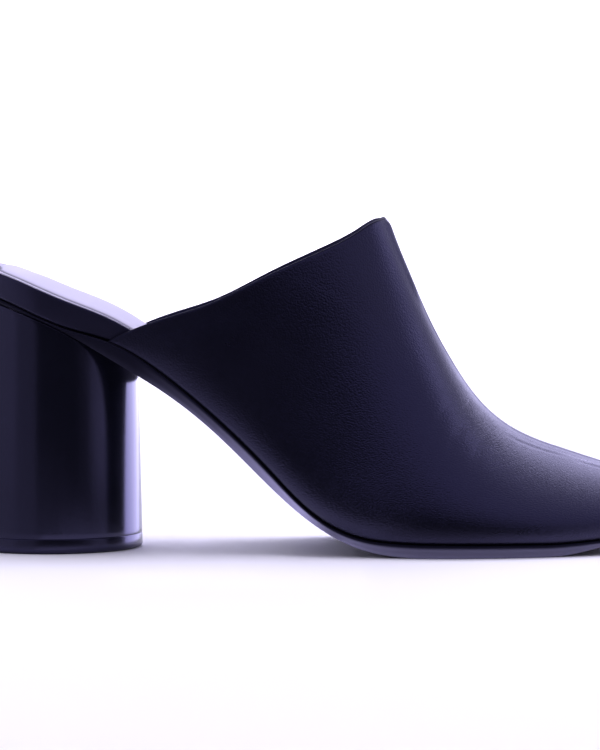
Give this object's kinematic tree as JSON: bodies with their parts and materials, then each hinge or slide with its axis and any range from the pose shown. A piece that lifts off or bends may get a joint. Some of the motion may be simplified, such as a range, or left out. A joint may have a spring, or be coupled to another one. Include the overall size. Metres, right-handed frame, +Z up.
{
  "type": "heeled leather mule",
  "caption": "Closed-toe backless leather mule on a round block heel, with a high centre-seamed vamp, thin sole with arch and toe spring, and a padded light sock.",
  "frame": {"origin": "centre of the heel's tread, on the floor", "axes": "+X towards the toe, +Y towards the inner (medial) side of the right foot, +Z up"},
  "size_m": [0.2233, 0.082, 0.0996],
  "materials": {
    "upper_calf": "smooth dark navy calf with a fine grain and a satin polish",
    "rand_calf": "the same dark calf wrapped round the insole board, smooth",
    "heel_calf": "the same dark calf stretched over the block, polished",
    "sock_leather": "pale lavender satin leather, lightly padded, bare",
    "sole_leather": "dark sealed sole leather with a waxed and bevelled edge",
    "lift_rubber": "dark firm rubber, smooth"
  },
  "bodies": {
    "root": {"upper": "upper_calf", "outsole": "sole_leather", "insole": "rand_calf", "sock": "sock_leather", "heel": "heel_calf", "top_lift": "lift_rubber"}
  },
  "joints": []
}
